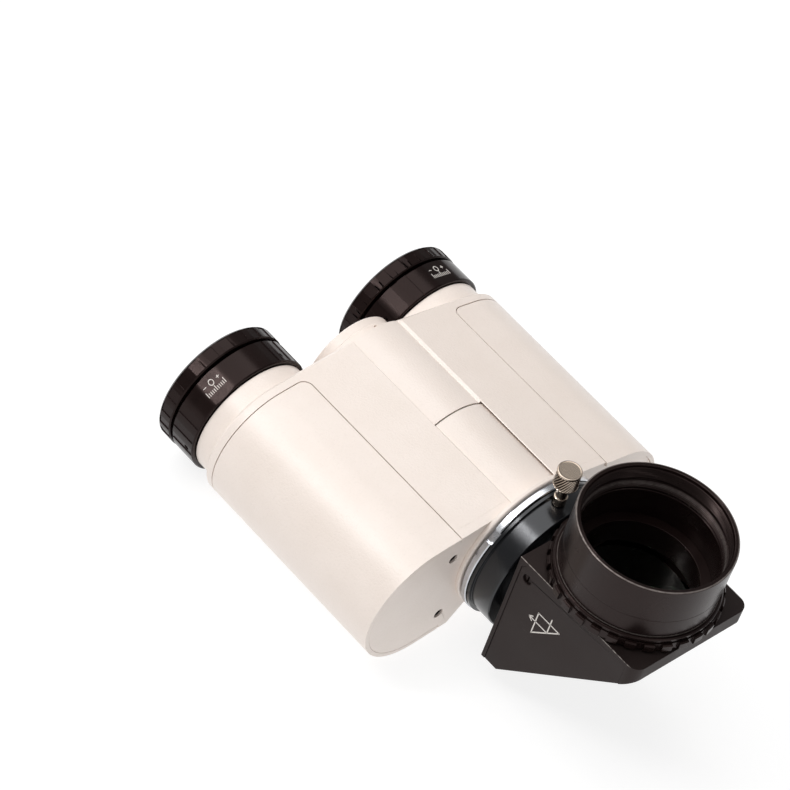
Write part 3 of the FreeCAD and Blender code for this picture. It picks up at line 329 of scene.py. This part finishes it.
def mark_paint():
    """White fill of the engraved marks, slightly uneven."""
    n = Nodes("mark_white")
    patch = n.noise(n.place(), 2600.0, 3.0, 0.6)
    colour = n.blend(n.ramp(patch, 0.3, 0.7), (0.78, 0.74, 0.70), (0.60, 0.56, 0.52))
    return n.finish(Base_Color=colour, Roughness=0.6, Normal=n.bump(patch, 0.00001, 0.3))


MATERIALS = {
    "paint_cream": paint(),
    "anodised_black": anodised("anodised_black", *COOL_BLACK, 0.20, ALONG_Y, HINGE, 0.1, 0.50,
                               COOL_TINT),
    "ring_panel": anodised("ring_panel", *WARM_BLACK, 0.24, ALONG_Y, HINGE),
    "anodised_charcoal": worn_charcoal(),
    "silver": bright("silver", (0.64, 0.65, 0.68), 0.20, ALONG_Y, HINGE),
    # The thumbscrew's nickel has painted shade in its knurl grooves.
    "nickel": bright("nickel", (0.60, 0.50, 0.41), 0.18, SCREW_AXIS, SCREW_BASE, 0.1, (3.62, 3.90)),
    "steel": bright("steel", (0.52, 0.52, 0.53), 0.30, ALONG_Y),
    "brass": bright("brass", (0.78, 0.55, 0.26), 0.26, ALONG_Y, HINGE),
    "screw_black": anodised("screw_black", *WARM_BLACK, 0.30),
    "glass": glass(),
    "polymer": soft("polymer", (0.62, 0.60, 0.55), (0.52, 0.50, 0.46), 0.5, 900.0, 0.00003),
    "pad": soft("pad", (0.20, 0.12, 0.07), (0.06, 0.035, 0.02), 0.85, 1400.0, 0.0002),
}
BARREL_BLACK = barrel_with_wear_and_painted_highlights()
MARK = mark_paint()
SLOTS = {entry["node"]: entry["material_slot"] for entry in frame["record"]["subparts"]}
SPECIAL = {}
for node in ("nosepiece_tube", "nosepiece_seat", "nosepiece_lock_ring"):
    SPECIAL[node] = BARREL_BLACK
for side, (x, z) in EYE.items():
    ring = anodised("anodised_ring_" + side, *WARM_BLACK, 0.20, ALONG_Y, (x, 0, z), 0.1, 0.17)
    for node in ("focus_ring", "clamp_ring", "eyepiece_tube", "light_baffle"):
        SPECIAL[side + "_" + node] = ring
for node, piece in NODES.items():
    piece.data.materials.clear()
    piece.data.materials.append(SPECIAL.get(node, MATERIALS[SLOTS[node]]))


# --- Fine edges on the CAD pieces that show ----------------------------------------------------
EDGE_ANGLE = math.radians(32.0)     # edges sharper than this are broken
WELD_REACH = 0.000002               # metres


def crisp(node, width):
    """Give a CAD node broken edges of a width in millimetres, with flat faces kept flat."""
    piece = NODES[node]
    mesh = piece.data
    normals = mesh.attributes.get("custom_normal")
    if normals:
        mesh.attributes.remove(normals)
    mesh.polygons.foreach_set("use_smooth", [True] * len(mesh.polygons))
    weld = piece.modifiers.new("weld", "WELD")
    weld.merge_threshold = WELD_REACH
    edges = piece.modifiers.new("edges", "BEVEL")
    edges.limit_method = "ANGLE"
    edges.angle_limit = EDGE_ANGLE
    edges.width = width * MM
    edges.segments = 2
    edges.harden_normals = True


CRISP = {
    0.18: ("frame", "cover", "front_plate", "collar"),
    0.10: ("focus_ring", "clamp_ring", "eyepiece_tube", "plate_screws", "focus_set_screws"),
}
for width, names in CRISP.items():
    for side in ("right", "left"):
        for name in names:
            crisp(side + "_" + name, width)
for node in ("hinge_cap", "entrance_flange", "diagonal_body", "diagonal_left_cover",
             "diagonal_right_cover"):
    crisp(node, 0.20)
for node in ("bayonet_ring", "quick_change_ring", "nosepiece_seat", "nosepiece_lock_ring",
             "side_cover_screws", "neck_ring"):
    crisp(node, 0.12)


# --- Pieces built here -------------------------------------------------------------------------
SMOOTH_ANGLE = math.radians(38.0)   # edges sharper than this shade as edges


def add_piece(name, verts, faces, material, body, slot, replaced=(), matrix=None):
    """Make a mesh piece from millimetre points, with its normals outwards and its edges sharp."""
    mesh = bpy.data.meshes.new(name)
    points = [Vector(v) for v in verts]
    if matrix is not None:
        points = [matrix @ p for p in points]
    mesh.from_pydata([p * MM for p in points], [], faces)
    bm = bmesh.new()
    bm.from_mesh(mesh)
    bmesh.ops.recalc_face_normals(bm, faces=bm.faces)
    bm.to_mesh(mesh)
    bm.free()
    mesh.polygons.foreach_set("use_smooth", [True] * len(mesh.polygons))
    mesh.set_sharp_from_angle(angle=SMOOTH_ANGLE)
    mesh.materials.append(material)
    piece = bpy.data.objects.new(name, mesh)
    bpy.context.collection.objects.link(piece)
    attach(piece, body)
    if replaced:
        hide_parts(*replaced)
    return piece


def turned_points(columns):
    """The points of (radius, height) outlines that are spread evenly about Z."""
    verts = []
    for index, outline in enumerate(columns):
        angle = 2 * math.pi * index / len(columns)
        verts += [(r * math.cos(angle), r * math.sin(angle), h) for r, h in outline]
    return verts


def turned_faces(columns, closed):
    """The faces between neighbouring outlines; closed also joins each outline's end to its start."""
    count = len(columns)
    rows = len(columns[0])
    faces = []
    for i in range(count):
        k = (i + 1) % count
        for j in range(rows if closed else rows - 1):
            m = (j + 1) % rows
            faces.append((i * rows + j, k * rows + j, k * rows + m, i * rows + m))
    return faces


def ring_grid(columns):
    """Points and faces of a closed ring about Z: one closed outline per angle."""
    return turned_points(columns), turned_faces(columns, True)


def solid_grid(columns):
    """Points and faces of a solid about Z: open outlines that end just off the axis, capped."""
    count = len(columns)
    rows = len(columns[0])
    verts = turned_points(columns)
    faces = turned_faces(columns, False)
    for row in (0, rows - 1):
        pole = len(verts)
        verts.append((0.0, 0.0, columns[0][row][1]))
        faces += [(i * rows + row, ((i + 1) % count) * rows + row, pole) for i in range(count)]
    return verts, faces


def arc_points(centre, radius, start, end, steps):
    """(radius, height) points of a small round, angles in degrees."""
    points = []
    for index in range(steps + 1):
        a = math.radians(start + (end - start) * index / steps)
        points.append((centre[0] + radius * math.cos(a), centre[1] + radius * math.sin(a)))
    return points


def triangle_wave(x):
    """A wave from 0 to 1 and back, with period 1."""
    x = x % 1.0
    return 2 * x if x < 0.5 else 2 - 2 * x


def held(points, reach=0.12):
    """The outline with an extra point close to each corner, so long faces shade flat."""
    result = [points[0]]
    for a, b in zip(points, points[1:]):
        length = math.dist(a, b)
        if length > 4 * reach:
            for share in (reach / length, 1 - reach / length):
                result.append(tuple(a[i] + (b[i] - a[i]) * share for i in (0, 1)))
        result.append(b)
    return result


BARREL_COLUMNS = 288
BORE_R = 22.6
RIM_ROUND = 0.4
THREAD_R = 23.7
THREAD_DEPTH = 0.40
THREAD_PITCH = 0.75
THREAD_LOW = 14.9
THREAD_HIGH = 19.7
THREAD_ROWS = 56


def thread(phase):
    """One column of the mouth's cut thread, from its high end down to its low end."""
    points = []
    for step in range(THREAD_ROWS + 1):
        z = THREAD_HIGH - (THREAD_HIGH - THREAD_LOW) * step / THREAD_ROWS
        fade = min(1.0, step / 5.0, (THREAD_ROWS - step) / 5.0)
        points.append((THREAD_R - THREAD_DEPTH * fade * triangle_wave(z / THREAD_PITCH - phase), z))
    return points


def nosepiece():
    """The barrel: a faint groove outside, turned rim, filter thread in the mouth, fine ridges below it."""
    outside = [(BORE_R, 0.15), (BORE_R + 0.15, 0.0), (NOSE_R - 0.15, 0.0), (NOSE_R, 0.15)]
    outside += [(NOSE_R, 7.0), (NOSE_R - 0.05, 7.07), (NOSE_R - 0.05, 7.18), (NOSE_R, 7.25)]
    outside += [(NOSE_R, NOSE_END - RIM_ROUND)]
    upper = held(outside)
    upper += arc_points((NOSE_R - RIM_ROUND, NOSE_END - RIM_ROUND), RIM_ROUND, 20, 90, 4)
    for groove in range(2):
        r = NOSE_R - 0.55 - 0.4 * groove
        upper += [(r, NOSE_END), (r - 0.08, NOSE_END - 0.07), (r - 0.14, NOSE_END - 0.07)]
        upper += [(r - 0.22, NOSE_END)]
    upper += [(24.05, NOSE_END), (23.9, NOSE_END - 0.08), (23.72, NOSE_END - 0.5)]
    lower = [(THREAD_R, 14.75), (23.6, 14.6), (23.25, 14.5)]
    for ridge in range(5):
        z = 14.3 - 0.55 * ridge
        r = 23.2 - 0.10 * ridge
        lower += [(r, z), (r - 0.22, z - 0.16), (r - 0.22, z - 0.28), (r - 0.04, z - 0.44)]
    bore = held([(22.7, 11.5), (BORE_R + 0.2, 11.2), (BORE_R + 0.2, 10.9), (BORE_R, 10.7),
                 (BORE_R, 0.15)])
    lower += bore[:-1]
    return ring_grid([upper + thread(index / BARREL_COLUMNS) + lower
                      for index in range(BARREL_COLUMNS)])


add_piece("nosepiece_barrel", *nosepiece(), BARREL_BLACK, "diagonal", "anodised_black",
          ("nosepiece_tube",))

KNURLS = 26
KNURL_ROWS = 60
KNURL_SPAN = 5.4                    # height over which the slants below are reckoned
SHANK_PITCH = 0.5


def thumbscrew():
    """The screw: threaded shank, collar, neck and a head with a slanted, lightly crossed knurl."""
    columns = []
    count = KNURLS * 8
    for index in range(count):
        turn = index / count
        outline = [(0.4, 23.6), (1.3, 23.6)]
        for step in range(41):
            z = 23.8 + 1.9 * step / 40
            outline.append((1.6 - 0.16 * triangle_wave(z / SHANK_PITCH - turn), z))
        outline += [(1.6, 25.8), (2.05, 25.8), (2.2, 25.95)]
        for step in range(13):
            z = 26.1 + 2.6 * step / 12
            outline.append((2.2 - 0.07 * triangle_wave(turn * 18), z))
        outline += held([(2.2, 28.85), (2.05, 29.0), (1.85, 29.05), (1.8, 29.2), (1.8, 34.3),
                         (1.95, HEAD_LOW), (3.5, HEAD_LOW), (3.75, HEAD_LOW + 0.15)])
        for step in range(KNURL_ROWS + 1):
            z = HEAD_LOW + 0.3 + (HEAD_TOP - 0.9 - HEAD_LOW) * step / KNURL_ROWS
            rise = (z - HEAD_LOW) / KNURL_SPAN
            fade = min(1.0, step / 3.0, (KNURL_ROWS - step) / 3.0)
            lead = triangle_wave(turn * KNURLS - rise * KNURLS / 7.5)
            cross = triangle_wave(turn * KNURLS + rise * KNURLS / 5.0)
            cut = 0.50 * (1 - lead) + 0.10 * (1 - cross)
            outline.append((HEAD_R - fade * cut, z))
        outline += arc_points((HEAD_R - 0.35, HEAD_TOP - 0.35), 0.35, 0, 90, 4)
        outline += held([(HEAD_R - 0.5, HEAD_TOP), (HEAD_R - 0.7, HEAD_TOP - 0.05),
                         (0.4, HEAD_TOP - 0.05)])
        columns.append(outline)
    return solid_grid(columns)


stand = Matrix.Translation((0, SCREW_Y, HINGE_Z)) @ Matrix.Rotation(math.radians(SCREW_LEAN), 4, "Y")
add_piece("thumbscrew_knurled", *thumbscrew(), MATERIALS["nickel"], "thumbscrew", "nickel",
          ("thumbscrew",), stand)


# --- Marks -------------------------------------------------------------------------------------
MARK_RISE = 0.03
SCALE_LINE = 0.24                   # line width of the dioptre scale
SCALE_FOOT = -2.0
TICK_STEP = 0.72
PRISM_LINE = 0.42                   # line width of the drawing on the diagonal


def bar(start, end, width):
    """Points and faces of one thin raised bar between two (u, v) points."""
    along = (Vector(end) - Vector(start)).normalized()
    off = Vector((-along.y, along.x)) * width / 2
    corners = [Vector(start) - off, Vector(end) - off, Vector(end) + off, Vector(start) + off]
    verts = [(c.x, c.y, 0.0) for c in corners] + [(c.x, c.y, MARK_RISE) for c in corners]
    faces = [(3, 2, 1, 0), (4, 5, 6, 7)]
    faces += [(i, (i + 1) % 4, 4 + (i + 1) % 4, 4 + i) for i in range(4)]
    return verts, faces


def hoop(centre, radius, width, squash=1.0, steps=48):
    """Points and faces of a thin raised ring on a (u, v) plane."""
    verts = []
    for height in (0.0, MARK_RISE):
        for r in (radius - width / 2, radius + width / 2):
            for index in range(steps):
                a = 2 * math.pi * index / steps
                verts.append((centre[0] + r * math.cos(a), centre[1] + r * squash * math.sin(a), height))
    faces = []
    for i in range(steps):
        k = (i + 1) % steps
        inner, outer, inner_top, outer_top = 0, steps, 2 * steps, 3 * steps
        faces.append((inner + i, inner + k, outer + k, outer + i))
        faces.append((inner_top + i, outer_top + i, outer_top + k, inner_top + k))
        faces.append((outer + i, outer + k, outer_top + k, outer_top + i))
        faces.append((inner + i, inner_top + i, inner_top + k, inner + k))
    return verts, faces


def joined(shapes):
    """Several (points, faces) shapes as one."""
    verts = []
    faces = []
    for part_verts, part_faces in shapes:
        base = len(verts)
        verts += part_verts
        faces += [tuple(base + v for v in face) for face in part_faces]
    return verts, faces


def dioptre_scale():
    """A short scale for a dioptre ring: ticks either side of a zero, with a minus and a plus."""
    shapes = []
    for index in range(-5, 6):
        if index == 0:
            continue
        long = 2.1 if index % 5 == 0 else 1.3
        tick = index * TICK_STEP
        shapes.append(bar((tick, SCALE_FOOT), (tick, SCALE_FOOT + long), SCALE_LINE))
    shapes.append(bar((0, SCALE_FOOT), (0, 0.1), 0.26))
    shapes.append(hoop((0, 1.5), 0.82, SCALE_LINE, 1.25))
    for start, end in (((-3.3, 1.5), (-2.1, 1.5)), ((2.1, 1.5), (3.3, 1.5)),
                       ((2.7, 1.62), (2.7, 2.1)), ((2.7, 1.38), (2.7, 0.9))):
        shapes.append(bar(start, end, SCALE_LINE))
    return joined(shapes)


def light_path_mark():
    """A plain drawing of a right-angle prism, with the light that goes in, turns and comes out."""
    corners = ((-4.6, -4.6), (4.6, 4.6), (-4.6, 4.6))
    shapes = [bar(corners[i], corners[(i + 1) % 3], PRISM_LINE) for i in range(3)]
    shapes += [hoop(corner, 0.15, 0.24, steps=16) for corner in corners]
    for start, end in (((0.6, 7.0), (0.6, 0.6)), ((0.6, 0.6), (-7.2, 0.6)),
                       ((-7.4, 0.6), (-5.9, 1.7)), ((-7.4, 0.6), (-5.9, -0.5))):
        shapes.append(bar(start, end, PRISM_LINE))
    return joined(shapes)


def plane(origin, u, v):
    """The matrix that lays (u, v) marks on a plane with its outward side up."""
    u = Vector(u).normalized()
    v = Vector(v).normalized()
    turn = Matrix((u, v, u.cross(v))).transposed()
    return Matrix.Translation(origin) @ turn.to_4x4()


# The middle of the flat that carries each ring's scale: distance from the axis, and degrees from +X.
FLAT_R = 22.7 * math.cos(math.radians(22.5 / 2))
FLAT_ANGLE = {"right": 130.3, "left": 79.5}
RING_MIDDLE_Y = FACE_Y + 90.7
for side, (x, z) in EYE.items():
    a = math.radians(FLAT_ANGLE[side])
    spot = (x + FLAT_R * math.cos(a), RING_MIDDLE_Y, z + FLAT_R * math.sin(a))
    tangent = (math.sin(a), 0, -math.cos(a))
    add_piece(side + "_dioptre_scale", *dioptre_scale(), MARK, side + "_focus", "ring_panel",
              matrix=plane(spot, tangent, (0, 1, 0)))

COVER_FACE_X = 24.65
for sign, side in ((-1, "right"), (1, "left")):
    spot = (sign * COVER_FACE_X, FACE_Y - 35.2, HINGE_Z + 5.8)
    add_piece(side + "_light_path_mark", *light_path_mark(), MARK, "diagonal", "anodised_charcoal",
              matrix=plane(spot, (0, sign, 0), (0, 0, 1)))


# --- Stage -------------------------------------------------------------------------------------
FLOOR_SIZE = 30.0                   # metres, far enough that its edge is out of the low views
FLOOR_GAP = 0.0001                  # metres, below the part at rest
FLOOR_GREY = 0.24
FLOOR_GLOW = 0.82


def stage_floor():
    """A large plain pale floor just under the part at rest."""
    n = Nodes("floor_pale")
    n.finish(Base_Color=(FLOOR_GREY,) * 3, Roughness=0.9, Emission_Color=(1.0, 1.0, 1.0),
             Emission_Strength=FLOOR_GLOW)
    mesh = bpy.data.meshes.new("floor")
    bm = bmesh.new()
    bmesh.ops.create_grid(bm, x_segments=4, y_segments=4, size=FLOOR_SIZE)
    bm.to_mesh(mesh)
    bm.free()
    floor = bpy.data.objects.new("floor", mesh)
    floor.location.z = CAD_BOX[0][2] - FLOOR_GAP
    mesh.materials.append(n.material)
    bpy.context.collection.objects.link(floor)


def area_light(name, location, target, size, power):
    """A soft white rectangular light aimed at a point, in metres and watts."""
    data = bpy.data.lights.new(name, "AREA")
    data.shape = "RECTANGLE"
    data.size, data.size_y = size
    data.energy = power
    lamp = bpy.data.objects.new(name, data)
    lamp.location = location
    lamp.rotation_euler = (Vector(target) - Vector(location)).to_track_quat("-Z", "Y").to_euler()
    bpy.context.collection.objects.link(lamp)


def camera():
    """The photo's camera, solved from points read off it: a long lens from the front, above; metres."""
    data = bpy.data.cameras.new("camera")
    data.sensor_width = 36.0
    data.lens = 178.70
    data.shift_y = -0.00127
    data.clip_start = 0.05
    data.clip_end = 100.0
    view = bpy.data.objects.new("camera", data)
    right = Vector((0.7276, -0.6447, 0.2346))
    down = Vector((-0.3685, -0.6557, -0.6590))
    ahead = Vector((0.5787, 0.3931, -0.7146))
    turn = Matrix((right, -down, -ahead)).transposed()
    view.matrix_world = Matrix.Translation((-0.7142, -0.38038, 0.85776)) @ turn.to_4x4()
    bpy.context.collection.objects.link(view)
    bpy.context.scene.camera = view


def world():
    """Even, dim white surroundings."""
    sky = bpy.data.worlds.new("studio")
    sky.use_nodes = True
    colour, strength = sky.node_tree.nodes["Background"].inputs[:2]
    colour.default_value = (1.0, 1.0, 1.0, 1.0)
    strength.default_value = 0.30
    bpy.context.scene.world = sky


stage_floor()
camera()
world()
area_light("key", (-0.17, 0.57, 1.12), (0, 0.03, -0.02), (1.5, 1.5), 15.0)
area_light("strip", (-0.66, 0.53, 0.90), (0, 0.03, -0.02), (0.06, 0.50), 2.6)
area_light("front", (-0.25, -1.1, 0.35), (0, 0, -0.02), (0.9, 0.9), 1.9)
bpy.context.scene.view_settings.view_transform = "Standard"
